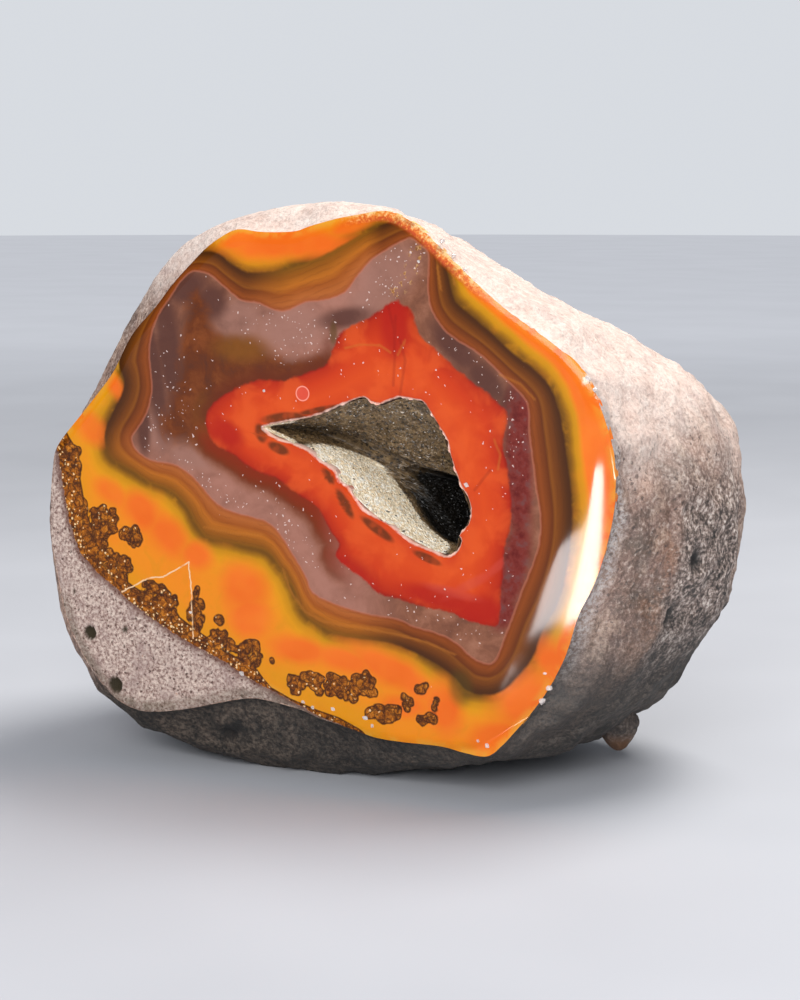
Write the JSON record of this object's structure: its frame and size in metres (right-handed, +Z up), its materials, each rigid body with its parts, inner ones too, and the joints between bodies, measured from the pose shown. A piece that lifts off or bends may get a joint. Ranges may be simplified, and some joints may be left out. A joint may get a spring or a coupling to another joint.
{
  "type": "agate geode",
  "caption": "Weathered agate nodule sawn open across and polished on the cut, with a small crystal-lined hollow, resting on its rounded underside.",
  "frame": {"origin": "a point on the small flat spot that the stone rests on, below the middle of the whole stone", "axes": "+Z up; the sawn and polished face is upright and looks along -Y; +X is to the right of somebody who looks at that face, along the stone's greatest width"},
  "size_m": [0.0908, 0.0546, 0.0735],
  "materials": {
    "agate_and_rock": "polished banded agate on the saw cut, matt grey-brown weathered rock elsewhere",
    "quartz_druse": "sugary quartz crystals, cream to dark brown"
  },
  "bodies": {
    "root": {"agate_nodule": "agate_and_rock", "druse_crust": "quartz_druse"}
  },
  "joints": []
}
